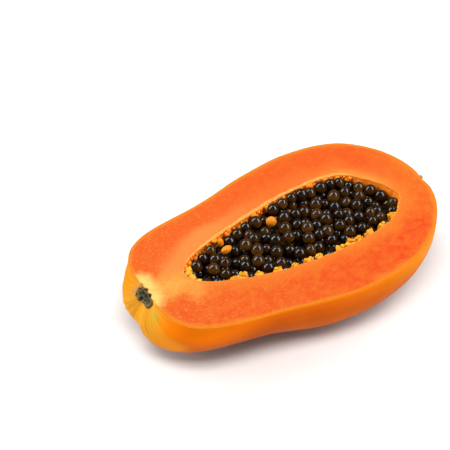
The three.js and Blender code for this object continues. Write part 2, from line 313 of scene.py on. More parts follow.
def relief(t, angle, point):
    """Low relief of the skin: wide soft dents, fine lengthwise wrinkles that fade from the stem and at both
    ends, torn steps in the rim above the stem scar, a hollow under the scar and a low bulge below it. It
    fades out at the flat spot."""
    _, across, down = spot(point)
    stemward = smooth(-t, -0.3, -0.02)
    dents = ripples(point, [DENTS], 1)
    around = np.broadcast_to(angle * WRAP, t.shape)
    lengthwise = np.stack([point[..., 0] * WRINKLE_DRAW, around, 0 * t], -1)
    low, more, size = WRINKLES
    wrinkles = (low + more * stemward) * ripple(lengthwise, size, 2) * between(t, 0, 0.06, 0.94, 1)
    near_scar = np.where(t < 0.3, np.exp(-(scar_reach(across, down) ** 4)), 0)
    off = (down / RIM_TEAR["height"]) ** 2 + ((across - RIM_TEAR["across"]) / RIM_TEAR["width"]) ** 2
    wave = np.sin(across * RIM_TEAR["turn"] + RIM_TEAR["start"])
    steps = np.where(t < 0.1, RIM_TEAR["step"] * np.exp(-off), 0) * np.sign(wave) * np.abs(wave) ** 0.4
    bulge = np.where(t < 0.3, dimpled(STEM_BULGE, across, down), 0)
    return (dents + wrinkles - SCAR_HOLLOW * near_scar + steps + bulge) * smooth(point[..., 2], 0, 4)


def skin(t, angle, inset=0.0):
    """The plain skin moved along its normal by its relief, less an inset."""
    t, angle, inset = np.broadcast_arrays(np.asarray(t, float), angle, inset)
    point = plain_skin(t, angle)
    moved = point + outward(t, angle) * (relief(t, angle, point) - inset)[..., None]
    moved[..., 2] = np.clip(moved[..., 2], inset.clip(0), CUT_HEIGHT)
    return moved


def cavity_edge(turn):
    """Point of the cavity's edge, once around from 0 to 1: the far side first, then the near one."""
    edge = np.array(CAVITY_EDGE, float)
    return place(curve(edge[:, 0], turn, True), curve(edge[:, 1], turn, True), 0)


def cavity_wall(turn, drop, inset=0.0):
    """Wall of the cavity from its edge (0) down to the middle of its floor (1): the edge shrinks to the
    middle as a super-ellipse while the depth follows a sine."""
    sine = np.sin(np.clip(drop, 0, 1) * np.pi / 2)
    scale = (1 - sine**CAVITY_SQUARENESS) ** (1 / CAVITY_SQUARENESS)
    middle = place(*CAVITY_MIDDLE, 0)
    arm = cavity_edge(turn) - middle
    arm = arm * (scale * (1 - inset / np.linalg.norm(arm, axis=-1)))[..., None]
    arm[..., 2] = -(CAVITY_DEPTH - inset) * sine
    return arm + middle


def nearest(points, line):
    """Distance in the cut face from each point to the nearest of a line's points."""
    x, y = points[..., 0].reshape(-1, 1), points[..., 1].reshape(-1, 1)
    off = [np.hypot(x - part[:, 0], y - part[:, 1]).min(1) for part in np.array_split(line, 8)]
    return np.min(off, 0).reshape(points.shape[:-1])


# ---- meshes ----


def build(name, patches, materials, masks=None, crease=50):
    """One mesh from patches, each a grid of points (columns, rows, 3) in millimetres with a material number.
    A face's outward side is columns crossed with rows. Points that coincide are joined, and faces that have
    closed up to a line are dropped. Masks hold a value for each point, patch after patch."""
    points = np.concatenate([grid.reshape(-1, 3) for grid, _ in patches])
    quads, numbers, start = [], [], 0
    for grid, number in patches:
        columns, rows = grid.shape[:2]
        index = start + np.arange(columns * rows).reshape(columns, rows)
        corners = [index[:-1, :-1], index[1:, :-1], index[1:, 1:], index[:-1, 1:]]
        quads.append(np.stack(corners, -1).reshape(-1, 4))
        numbers.append(np.full(len(quads[-1]), number))
        start += columns * rows
    cell = np.round(points * 1000).astype(np.int64)
    _, first, joined = np.unique(cell, axis=0, return_index=True, return_inverse=True)
    quads = joined.reshape(-1)[np.concatenate(quads)]
    numbers = np.concatenate(numbers)
    repeat = quads == np.roll(quads, -1, 1)
    whole = repeat.sum(1) == 0
    three = repeat.sum(1) == 1
    triangles = quads[three][~repeat[three]].reshape(-1, 3)
    mesh = bpy.data.meshes.new(name)
    mesh.from_pydata((points[first] / 1000).tolist(), [], quads[whole].tolist() + triangles.tolist())
    numbers = np.concatenate([numbers[whole], numbers[three]])
    mesh.polygons.foreach_set("material_index", numbers.astype(np.int32))
    mesh.shade_smooth()
    mesh.set_sharp_from_angle(angle=math.radians(crease))
    for material in materials:
        mesh.materials.append(material)
    for label, grids in (masks or {}).items():
        kind, field = ("FLOAT_VECTOR", "vector") if grids[0].ndim == 3 else ("FLOAT", "value")
        width = 3 if kind == "FLOAT_VECTOR" else 1
        values = np.concatenate([grid.reshape(-1, width) for grid in grids])[first]
        mesh.attributes.new(label, kind, "POINT").data.foreach_set(field, values.ravel().astype(np.float32))
    piece = bpy.data.objects.new(name, mesh)
    bpy.context.scene.collection.objects.link(piece)
    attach(piece, "root")
    return piece


def globe(columns, rows):
    """Unit directions over a globe, pole to pole, with the turn running down so that faces look outward."""
    turn = np.linspace(2 * np.pi, 0, columns + 1)[:, None]
    tilt = np.linspace(0, np.pi, rows + 1)[None]
    return np.stack([np.cos(turn) * np.sin(tilt), np.sin(turn) * np.sin(tilt), np.cos(tilt) + 0 * turn], -1)


def upright_turn(turn):
    """Matrix that turns a point about the upright axis."""
    return np.array([[math.cos(turn), -math.sin(turn), 0], [math.sin(turn), math.cos(turn), 0], [0, 0, 1]])


def nuggets(centres, radii, key, grid=CRUMB_GRID):
    """Crumbly blocky lumps: globes whose directions are pressed towards a cube, with noise in the radius."""
    unit = globe(*grid)
    boxy = unit / (np.abs(unit) ** 4).sum(-1, keepdims=True) ** 0.25
    shape = (1 - CRUMB_BOXY) * unit + CRUMB_BOXY * boxy
    grids = []
    for number, (centre, radius) in enumerate(zip(centres, radii)):
        rough = 1 + ripples(unit + 7.3 * number, [CRUMB_WAVES], key)
        spin = upright_turn(number * GOLDEN_ANGLE + key)
        grids.append(centre + radius * (shape * rough[..., None]) @ spin.T)
    return grids


# ---- pieces ----


def stations():
    """Stations from stem to blossom, a third as far apart at the ends as in the middle."""
    even = np.linspace(0, 1, STATIONS + 1)
    return even - 0.5 * np.sin(2 * np.pi * even) / (2 * np.pi)


def arc(steps):
    """Angles round a section, from the far side of the cut face under the fruit to the near side."""
    return np.linspace(np.pi / 2, -np.pi / 2, steps + 1)[None]


def rind(skin_material, cut_material):
    """The skin layer as a closed shell: skin outside, the same surface inset by its thickness inside, and the
    ring between the two in the cut face. Its lay is the length along and round the skin, for the streaks."""
    t = stations()[:, None]
    fine, coarse = arc(SKIN_STEPS), -arc(HIDDEN_STEPS)
    outer, inner = skin(t, fine), skin(t, coarse, RIND)
    far = np.stack([outer[:, 0], inner[:, -1]], 1)[::-1]
    near = np.stack([outer[:, -1], inner[:, 0]], 1)
    lay = [np.stack(np.broadcast_arrays(LENGTH * t, WRAP * angle, 0 * t), -1) for angle in (fine, coarse)]
    lay += [np.zeros(far.shape), np.zeros(near.shape)]
    patches = [(outer, 0), (inner, 0), (far, 1), (near, 1)]
    return build("papaya_skin", patches, [skin_material, cut_material], {"lay": lay})


def around_cut():
    """Station, angle and turn of points round the cut face, from the stem along the near side and back."""
    t = stations()
    side = np.repeat([-np.pi / 2, np.pi / 2], [STATIONS + 1, STATIONS])
    return np.concatenate([t, t[-2::-1]]), side, np.concatenate([1 - t / 2, t[-2::-1] / 2])


def flesh(flesh_material, lining_material):
    """The flesh as a closed body: the cut face from the skin to the cavity's rounded edge, the bumpy wall of
    the cavity, and the hidden side against the skin. Its masks are distances in millimetres."""
    t, angle, turn = around_cut()
    rim = skin(t, angle, RIND)
    edge = cavity_edge(turn)
    arm = edge - place(*CAVITY_MIDDLE, 0)
    arm /= np.linalg.norm(arm, axis=-1, keepdims=True)
    edge = edge + arm * ripples(edge, EDGE_WAVES, 3)[:, None]
    # the wall is smooth, and its cut edge thin, at the blossom end
    calm = between(turn, *CALM_TURNS)[:, None]
    far_side = between(turn, *FAR_TURNS)[:, None]
    share = 1 - np.linspace(1, 0, FACE_STEPS)[None, :, None] ** FACE_CROWD
    face = rim[:, None] + (edge + EDGE_ROUND * arm - rim)[:, None] * share
    bow = np.linspace(0, np.pi / 2, EDGE_STEPS + 1)[None, 1:, None]
    bend = edge[:, None] + EDGE_ROUND * (arm[:, None] * (1 - np.sin(bow)) - (0, 0, 1) * (1 - np.cos(bow)))
    drop = np.linspace(0.06, 1, WALL_STEPS + 1)[None, 1:] ** WALL_CROWD
    wall = cavity_wall(turn[:, None], drop) + (edge - cavity_edge(turn))[:, None] * (1 - drop[..., None])
    depth = CUT_HEIGHT - wall[..., 2]
    bumps = (1 - BUMPS_CALMED * calm) * ripples(wall, WALL_WAVES, 5) + WALL_CALM * calm
    bumps *= between(depth, 0.2, 2.2 + 2 * calm, 10, 20)
    whole = np.concatenate([face, bend, wall - arm[:, None] * bumps[..., None]], 1)
    from_cavity = nearest(whole, edge)
    from_cavity[:, FACE_STEPS:] = 0
    lining = from_cavity / (LINING_NEAR + (LINING_FAR - LINING_NEAR) * far_side)
    lining /= 1 - LINING_CALMED * calm
    # the lining's cut edge is torn down a little
    torn = np.maximum(0, LINING_SUNK + ripples(whole, [LINING_TORN], 18))
    torn *= smooth(-lining, -1.1, -0.8) * far_side
    vein_line, stem_line = face_line(VEIN, 120), face_line(STEM_EDGE, 40)
    from_rim, vein, stem = (nearest(whole, line) for line in (rim, vein_line, stem_line))
    whole[..., 2] -= torn * smooth(whole[..., 2] - CUT_HEIGHT, -3, -0.5)
    hidden = skin(stations()[:, None], arc(HIDDEN_STEPS), RIND)
    masks = {"from_rim": (from_rim, 0), "from_cavity": (from_cavity, NO_MASK), "lining": (lining, 9)}
    masks |= {"vein": (vein, NO_MASK), "stem": (stem, NO_MASK)}
    # the wall of the cavity, past its rounded edge, is its own finish
    last = FACE_STEPS + EDGE_STEPS - 2
    patches = [(whole[:, : last + 1], 0), (whole[:, last:], 1), (hidden, 0)]
    split = {
        name: [mask[:, : last + 1], mask[:, last:], np.full(hidden.shape[:2], float(behind))]
        for name, (mask, behind) in masks.items()
    }
    return build("papaya_flesh", patches, [flesh_material, lining_material], split, crease=60)


def face_line(spots, count):
    """Smooth line of points in the cut face through spots given from the stem end and across."""
    return place(*(curve(side, np.linspace(0, 1, count)) for side in zip(*spots)), 0)


def lump_middle(along, radius):
    """Middle of a lump of the placenta: by the cavity's near edge, its top just below the cut face."""
    edge = cavity_edge(np.linspace(0.5, 1, 201))
    beside = edge[np.argmin(np.abs(edge[:, 0] + MIDDLE[0] - along))]
    return beside + (0, LUMP_REACH * radius, LUMP_TOP - radius)


def placenta(material):
    """Crumbs of the placenta: a cluster on each lump of the near edge, small beads between them, tufts on the
    far wall under its edge, and the stub that joins the placenta to the stem."""
    centres, radii = [], []
    # a fat crumb in the middle of each lump and smaller ones over its top
    for number, (along, radius) in enumerate(PLACENTA_LUMPS):
        middle = lump_middle(along, radius)
        centres.append(middle)
        radii.append(0.76 * radius)
        for k in range(LUMP_CRUMBS):
            lean = math.pi * (0.02 + 0.16 * k) + 0.3 * math.sin(3.1 * k + number)
            up = 0.25 + 0.4 * math.sin(2.3 * k + 1.7 * number)
            centres.append(middle + radius * np.array([0.66 * math.cos(lean), 0.5 * math.sin(lean), up]))
            radii.append(radius * (0.37 + 0.1 * math.sin(1.9 * k + number)))
    # beads along the near edge
    for k in range(BEADS):
        draw, other = fraction(k * SQUARE_STEPS[0]), fraction(k * SQUARE_STEPS[1])
        turn = 0.56 + 0.4 * (k + 0.6 * draw) / BEADS
        centres.append(cavity_wall(turn, 0.02 + 0.03 * other) + (0, 0, -0.25))
        radii.append(0.45 + 0.45 * draw * other + 0.1 * draw)
    # tufts along the far one
    for k in range(TUFTS):
        draw, other = fraction(k * SQUARE_STEPS[0]), fraction(0.3 + k * SQUARE_STEPS[1])
        turn = 0.01 + 0.4 * (k + 0.9 * draw) / TUFTS
        centres.append(cavity_wall(turn, 0.025 + 0.08 * other, 0.4 + 0.5 * draw))
        radii.append(0.6 + 1.3 * draw * draw)
    for along, across, down, radius in STEM_STUB:
        centres.append(place(along, across, down))
        radii.append(radius)
    grids = nuggets(centres, radii, 8)
    # tufts on the far wall are deeper in tone and the stub is paler
    shift = np.repeat([0, -1, 0.5], [len(grids) - TUFTS - len(STEM_STUB), TUFTS, len(STEM_STUB)])
    tint = [np.full(grid.shape[:2], fraction(k * LINE_STEP) + shift[k]) for k, grid in enumerate(grids)]
    return build("papaya_placenta", [(grid, 0) for grid in grids], [material], {"tint": tint}, crease=80)


def inside_cavity(wanted, clear):
    """Moves places in the cut face clear of the cavity's edge, and says which are not well outside it."""
    edge = cavity_edge(np.arange(360) / 360)
    best = np.hypot(*(wanted[:, None, :2] - edge[None, :, :2]).transpose(2, 0, 1)).argmin(1)
    run = edge[(best + 1) % 360] - edge[best]
    run /= np.linalg.norm(run, axis=-1, keepdims=True)
    out = np.stack([-run[:, 1], run[:, 0], 0 * run[:, 0]], -1)
    beyond = ((wanted - edge[best]) * out)[:, :2].sum(-1)
    return wanted + out * np.minimum(0, -clear - beyond)[:, None], beyond <= 1


def seed_places():
    """Places to try for a seed and a draw for each: a row against the wall, staggered rows a little astray,
    then an even scatter."""
    edge = cavity_edge(np.arange(360) / 360)
    run = np.floor(np.cumsum(np.linalg.norm(edge - np.roll(edge, 1, 0), axis=1)) / WALL_PITCH + 1)
    wall = np.flatnonzero(np.diff(run, prepend=0) > 0)
    rows, columns = np.meshgrid(np.arange(-SEED_ROWS, SEED_ROWS + 1), np.arange(SEED_COLUMNS), indexing="ij")
    row, column = rows.ravel(), columns.ravel()
    count = 1 + np.arange(row.size)
    turn = 2 * np.pi * fraction(count * LINE_STEP)
    stray = SEED_STRAY * np.sqrt(fraction(count * SQUARE_STEPS[0]))
    along = FIRST_SEED[0] + (column + 0.5 * (row % 2)) * SEED_PITCH[0] + stray * np.cos(turn)
    across = FIRST_SEED[1] + row * SEED_PITCH[1] + stray * np.sin(turn)
    k = np.arange(FILL_SEEDS)
    sides = zip(FILL_AREA, SQUARE_STEPS)
    fill = [low + (high - low) * fraction(0.5 + k * step) for (low, high), step in sides]
    draws = [fraction(wall * LINE_STEP), fraction(count * SQUARE_STEPS[1]), fraction(k * LINE_STEP)]
    return np.concatenate([edge[wall], place(along, across, 0), place(*fill, 0)]), np.concatenate(draws)


def heap_level(across):
    """Height of the heap's level: that of the cut face along the far side, lower towards the near one."""
    return CUT_HEIGHT - HEAP_SLOPE * (HEAP_FAR - across)


def seed_heap():
    """Centres and radii of the seeds. Each place is tried in turn, pass by pass: a seed sinks until it clears
    what has settled there, and stays if it is not too low."""
    wanted, draw = seed_places()
    radius = SEED_RADIUS * (1 + SEED_SPREAD * (2 * draw - 1))
    loose = 1 + GAP / SEED_RADIUS
    settled = [(*place(along, across, PALE_DOWN), size, loose) for along, across, size in PALE_SEEDS]
    for along, size in PLACENTA_LUMPS:
        settled.append((*lump_middle(along, size), size, loose))
    first = len(settled)
    for lowest, gap in zip(SEED_LEVELS, WALL_GAPS):
        clear, kept = inside_cavity(wanted, radius + gap)
        for k in np.flatnonzero(kept):
            x, y = clear[k, :2]
            other = np.array(settled)
            reach = (radius[k] + other[:, 3]) * other[:, 4]
            off = np.hypot(other[:, 0] - x, other[:, 1] - y)
            under = other[:, 2] - np.sqrt(np.maximum(reach**2 - off**2, 0))
            start = heap_level(y) + SEED_TOP - radius[k] - SEED_DROP * fraction(draw[k] * 7)
            height = min([start, *under[off < reach]])
            if height >= heap_level(y) + lowest:
                settled.append((x, y, height, radius[k], SEED_SQUEEZE))
    heap = np.array(settled[first:])
    return heap[:, :3], heap[:, 3]


def seeds(material):
    """The seeds in their gel coats: globes a little longer one way than the other, with a slight wobble. Each
    has a tint of its own, and a mask of how far a point looks down and away from the light above, which
    places painted light on that side."""
    centres, radii = seed_heap()
    unit = globe(*SEED_GRID)
    shade = unit @ np.array(SEED_SHADE)
    patches, tint, under = [], [], []
    for number, (centre, radius) in enumerate(zip(centres, radii)):
        long_way = np.array([math.cos(2.4 * number), math.sin(2.4 * number), 0.5 * math.sin(number)])
        stretch = 1 + SEED_STRETCH * (unit @ long_way) ** 2 + ripples(unit + number, [SEED_WAVES], 9)
        patches.append((centre + radius * unit * stretch[..., None], 0))
        tint.append(np.full(unit.shape[:2], fraction(number * LINE_STEP)))
        under.append(shade)
    return build("papaya_seeds", patches, [material], {"tint": tint, "under": under}, crease=180)


def pale_seed(number, material):
    """A seed that never filled out: a soft ellipsoid with a puckered skin."""
    along, across, radius = PALE_SEEDS[number]
    unit = globe(*PALE_GRID)
    size, turn = PALE_SHAPES[number]
    rough = 1 + ripples(unit + number, [PALE_WAVES], 10)
    grid = place(along, across, PALE_DOWN) + radius * (unit * rough[..., None] * size) @ upright_turn(turn).T
    return build(f"papaya_pale_seed_{number + 1}", [(grid, 0)], [material], crease=180)


def pulp(material):
    """The pulp that the seeds sit in, dark as painted shade between them: an uneven floor below the heap's
    level, with a flat underside.
    """
    turn = np.linspace(1, 0, 181)
    level = 2 / np.pi * math.asin(-PULP_DOWN / CAVITY_DEPTH)
    ring = cavity_wall(turn, level, 0.2)
    middle = place(*CAVITY_MIDDLE, PULP_DOWN)
    # from the wall to the middle on top, back underneath and up to the start
    top_steps, under_steps = PULP_STEPS
    share = np.concatenate([np.linspace(1, 0, top_steps), np.linspace(0, 1, under_steps), [1]])
    on_top = np.repeat([True, False, True], [top_steps, under_steps, 1])
    grid = middle + (ring - middle)[:, None] * share[None, :, None]
    uneven = ripples(grid, [PULP_WAVES], 11) * smooth(-share, -1, -0.9)
    top = heap_level(grid[..., 1]) + PULP_DOWN + uneven
    grid[..., 2] = np.where(on_top, top, CUT_HEIGHT + PULP_DOWN - PULP_THICK)
    return build("papaya_pulp_shade_floor", [(grid, 0)], [material])


def station_of(across, down):
    """Station and angle of the stem end's skin at a point of the stem plane: the section and bearing that
    pass through it, found by stepping the guess."""
    table = np.linspace(0, 0.3, 301)
    t = np.full(across.shape, 0.05)
    for _ in range(14):
        side, high = across - centre_line(t), -down / curve(DEPTH_RATIO, t)
        angle = np.arctan2(side, high)
        t = np.interp(np.hypot(side, high) / lobed(t, angle)[1], half_width(table), table)
    return t, angle


def stem_scar(material):
    """The scar where the stem came off: a corky pad that follows the skin, with a ragged outline, folds that
    stand up and pits that sink in. Its far side is buried in the skin."""
    turn = np.linspace(0, 2 * np.pi, 121)[:, None]
    tilt = np.linspace(0, np.pi, 57)[None]
    ring = np.stack(np.broadcast_arrays(np.cos(turn), np.sin(turn), 0 * turn), -1)
    ragged = 1 + ripples(ring, SCAR_RAGGED, 12)
    long = SCAR_HALF[0] * np.sin(tilt) * ragged * np.cos(turn)
    short = SCAR_HALF[1] * np.sin(tilt) * ragged * np.sin(turn)
    across = SCAR_MIDDLE[0] + long * math.cos(SCAR_LEAN) - short * math.sin(SCAR_LEAN)
    down = np.minimum(SCAR_MIDDLE[1] + long * math.sin(SCAR_LEAN) + short * math.cos(SCAR_LEAN), -0.03)
    t, angle = station_of(across, down)
    flat = np.stack([across, down, 0 * across], -1)
    creases = sum(deep * np.abs(ripple(flat, size, 14 + k)) for k, (deep, size) in enumerate(SCAR_FOLDS))
    pits = sum(np.exp(-((across - x) ** 2 + (down - y) ** 2) / size**2) for x, y, size in SCAR_PITS)
    rough = SCAR_FOLD - creases - PIT_DEPTH * pits + ripples(flat, [SCAR_GRAIN], 16)
    rough *= smooth(np.cos(tilt), 0, 0.45)
    dome = np.maximum(np.cos(tilt), 0) ** 0.5
    over = SCAR_RISE * dome + np.maximum(rough, -0.8 * dome)
    height = np.where(np.cos(tilt) > 0, over, SCAR_BURIED * np.cos(tilt))
    pad = skin(t, angle, -height)
    # its relief drives the painted light and shade of the cork
    return build("papaya_stem_scar", [(pad, 0)], [material], {"lift": [rough]}, crease=180)


def blossom_scar(material):
    """The nub where the flower dried off: a few dry crumbs at the tip."""
    centres = [place(*crumb[:3]) for crumb in BLOSSOM_CRUMBS]
    grids = nuggets(centres, [crumb[3] for crumb in BLOSSOM_CRUMBS], 17, BLOSSOM_GRID)
    lift = [np.zeros(grid.shape[:2]) for grid in grids]
    return build("papaya_blossom_scar", [(grid, 0) for grid in grids], [material], {"lift": lift}, crease=180)


# ---- materials ----


def linear(colour):
    """Linear colour of an sRGB hex value."""
    parts = [int(colour[k : k + 2], 16) / 255 for k in (1, 3, 5)]
    return (*(x / 12.92 if x <= 0.04045 else ((x + 0.055) / 1.055) ** 2.4 for x in parts), 1.0)


def feed(tree, node, inputs):
    """Gives a node's inputs their values, hex colours or links from other sockets."""
    for name, value in inputs.items():
        if isinstance(value, bpy.types.NodeSocket):
            tree.links.new(value, node.inputs[name])
        else:
            node.inputs[name].default_value = linear(value) if isinstance(value, str) else value


def add(tree, kind, inputs=None, take=0, **settings):
    """Adds a node, feeds its inputs and gives the output to take from it. Settings are the node's own; stops
    are the places and colours of a ramp."""
    made = tree.nodes.new(kind)
    for name, value in settings.items():
        if name == "stops":
            ramp = made.color_ramp.elements
            while len(ramp) < len(value):
                ramp.new(0.5)
            for element, (position, colour) in zip(ramp, value):
                element.position, element.color = position, linear(colour)
        else:
            setattr(made, name, value)
    feed(tree, made, inputs or {})
    return made.outputs[take]


def finish(name):
    """A new material, its node tree and its Principled shader."""
    material = bpy.data.materials.new(name)
    material.use_nodes = True
    tree = material.node_tree
    return material, tree, tree.nodes["Principled BSDF"]


# kinds of node
COORDS, MASK, AXES = "ShaderNodeTexCoord", "ShaderNodeAttribute", "ShaderNodeSeparateXYZ"
NOISE, RAMP, MIX, BUMP = "ShaderNodeTexNoise", "ShaderNodeValToRGB", "ShaderNodeMix", "ShaderNodeBump"
SPAN, MATH, VECTOR = "ShaderNodeMapRange", "ShaderNodeMath", "ShaderNodeVectorMath"
# Their inputs go by number. SPAN maps input 0 from the range in 1 and 2 to the one in 3 and 4, or to 0 to 1.
# MIX goes by input 0 from 2 to 3, and for colours from 6 to 7. MATH and VECTOR work on 0, 1 and 2.
COLOUR = dict(data_type="RGBA", take=2)
EASED = dict(interpolation_type="SMOOTHSTEP")
TIMES, TIMES_PLUS = dict(operation="MULTIPLY"), dict(operation="MULTIPLY_ADD")


def ripe_flesh():
    """Ripe papaya flesh, cut with a knife: moist and slightly translucent, orange-red and mottled, lighter
    towards the skin and the cavity, with short pale fibres. Soft satin shine."""
    material, tree, shader = finish("ripe_papaya_flesh_cut")
    where = add(tree, COORDS, take="Object")
    rim, cavity, lining, vein, stem = (
        add(tree, MASK, attribute_name=name, take="Fac")
        for name in ("from_rim", "from_cavity", "lining", "vein", "stem")
    )
    along, across, _ = add(tree, AXES, {0: where}, take=slice(3))
    # mottles 14 mm and 4 mm across, grain of 0.8 mm, and fibres 1 mm wide, drawn out to twice that
    drawn = add(tree, VECTOR, {0: where, 1: (0.45, 1.0, 1.0)}, **TIMES)
    cloud, blotch, grain, fibres = (
        add(tree, NOISE, {"Vector": at, "Scale": scale, "Detail": detail, "Roughness": rough})
        for at, scale, detail, rough in (
            (where, 72, 3, 0.55), (where, 240, 4, 0.6), (where, 1250, 3, 0.7), (drawn, 1000, 2, 0.6),
        )
    )
    # redder away from the skin and the cavity and towards the blossom end, in spots, less on the far side
    wander = add(tree, MATH, {0: cloud, 1: 11.0, 2: -5.5}, **TIMES_PLUS)
    rim_edge = add(tree, MATH, {0: rim, 1: wander}, operation="ADD")
    cavity_far = add(tree, MATH, {0: cavity, 1: wander}, operation="SUBTRACT")
    red = add(tree, SPAN, {0: cavity_far, 1: 0.0, 2: 12.0}, **EASED)
    outer = add(tree, SPAN, {0: rim_edge, 1: 0.0, 2: 3.2}, **EASED)
    spots = add(tree, SPAN, {0: blotch, 1: 0.36, 2: 0.64, 3: 0.45, 4: 1.0})
    riper = add(tree, SPAN, {0: along, 1: -0.05, 2: 0.04, 3: 0.78, 4: 1.0})
    for share in (outer, spots, riper):
        red = add(tree, MATH, {0: red, 1: share}, **TIMES)
    beyond = add(tree, SPAN, {0: across, 1: 0.0, 2: 0.01})
    calmer = add(tree, MATH, {0: red, 1: 0.45, 2: 0.33}, **TIMES_PLUS)
    red = add(tree, MIX, {0: beyond, 2: red, 3: calmer})
    # peach beyond the cavity, and a lighter edge to it towards the blossom end
    peach = add(tree, SPAN, {0: cavity_far, 1: 15.0, 2: 6.0}, **EASED)
    early = add(tree, SPAN, {0: along, 1: 0.01, 2: -0.03, 3: 0.15, 4: 1.0})
    lighter = add(tree, SPAN, {0: cavity, 1: 6.5, 2: 0.3}, **EASED)
    blossomward = add(tree, SPAN, {0: along, 1: 0.02, 2: 0.06, 3: 0.0, 4: 0.5})
    for share in (beyond, early):
        peach = add(tree, MATH, {0: peach, 1: share}, **TIMES)
    for share in (beyond, blossomward):
        lighter = add(tree, MATH, {0: lighter, 1: share}, **TIMES)
    # a yellower line next to the skin, 1 mm wide
    line = add(tree, SPAN, {0: rim, 1: 1.3, 2: 0.1}, **EASED)
    # pale fibres, more of them towards the stem
    fibre = add(tree, SPAN, {0: fibres, 1: 0.53, 2: 0.72})
    woolly = add(tree, SPAN, {0: along, 1: 0.02, 2: -0.06, 3: 0.22, 4: 0.55})
    fibre = add(tree, MATH, {0: fibre, 1: woolly}, **TIMES)
    # cream flesh at the stem, fading along the vein to the cavity, with wisps and a thread in it
    stemward = add(tree, SPAN, {0: along, 1: -0.044, 2: -0.066}, **EASED)
    frayed = add(tree, MATH, {0: blotch, 1: 10.0, 2: vein}, **TIMES_PLUS)
    halo = add(tree, SPAN, {0: frayed, 1: 18.0, 2: 5.5, 3: 0.0, 4: 0.95}, **EASED)
    halo = add(tree, MATH, {0: halo, 1: stemward}, **TIMES)
    wisp = add(tree, SPAN, {0: grain, 1: 0.46, 2: 0.64, 3: 0.0, 4: 0.6})
    wisp = add(tree, MATH, {0: wisp, 1: halo}, **TIMES)
    stem_edge = add(tree, MATH, {0: blotch, 1: 5.0, 2: stem}, **TIMES_PLUS)
    cream = add(tree, SPAN, {0: stem_edge, 1: 12.0, 2: 3.5}, **EASED)
    thread = add(tree, SPAN, {0: vein, 1: 1.6, 2: 0.2, 3: 0.0, 4: 0.4})
    # paler towards the blossom end
    tipward = add(tree, SPAN, {0: along, 1: 0.066, 2: 0.086, 3: 0.0, 4: 0.55})
    # the lining's cut edge, with brown specks along its border
    torn = add(tree, MATH, {0: blotch, 1: 0.9, 2: lining}, **TIMES_PLUS)
    pith = add(tree, RAMP, {0: grain}, stops=[(0.38, "#c8722a"), (0.58, "#d2994e")])
    band = add(tree, SPAN, {0: torn, 1: 1.55, 2: 1.3}, **EASED)
    speck = add(tree, SPAN, {0: grain, 1: 0.52, 2: 0.62, 3: 0.0, 4: 0.75})
    for faint, full in ((1.25, 1.45), (1.75, 1.5)):
        border = add(tree, SPAN, {0: torn, 1: faint, 2: full})
        speck = add(tree, MATH, {0: speck, 1: border}, **TIMES)
    tone = add(tree, MIX, {0: red, 6: "#c16420", 7: "#be3d14"}, **COLOUR)
    for share, colour in (
        (peach, "#c77134"), (lighter, "#e0913a"), (line, "#c16d1d"), (fibre, "#c77f3f"), (halo, "#c68434"),
        (wisp, "#cda055"), (cream, "#ccaf5f"), (thread, "#c38841"), (tipward, "#c06c20"), (band, pith),
        (speck, "#9c3f10"),
    ):
        tone = add(tree, MIX, {0: share, 6: tone, 7: colour}, **COLOUR)
    gloss = add(tree, SPAN, {0: blotch, 1: 0.3, 2: 0.7, 3: 0.34, 4: 0.5})
    uneven = add(tree, MATH, {0: blotch, 1: 0.6, 2: grain}, **TIMES_PLUS)
    bump = add(tree, BUMP, {"Height": uneven, "Strength": 0.3, "Distance": 0.0004})
    feed(tree, shader, {
        "Base Color": tone, "Roughness": gloss, "Specular IOR Level": 0.06, "Subsurface Weight": 0.25,
        "Subsurface Radius": (1.0, 0.35, 0.12), "Subsurface Scale": 0.003, "Normal": bump,
    })
    return material


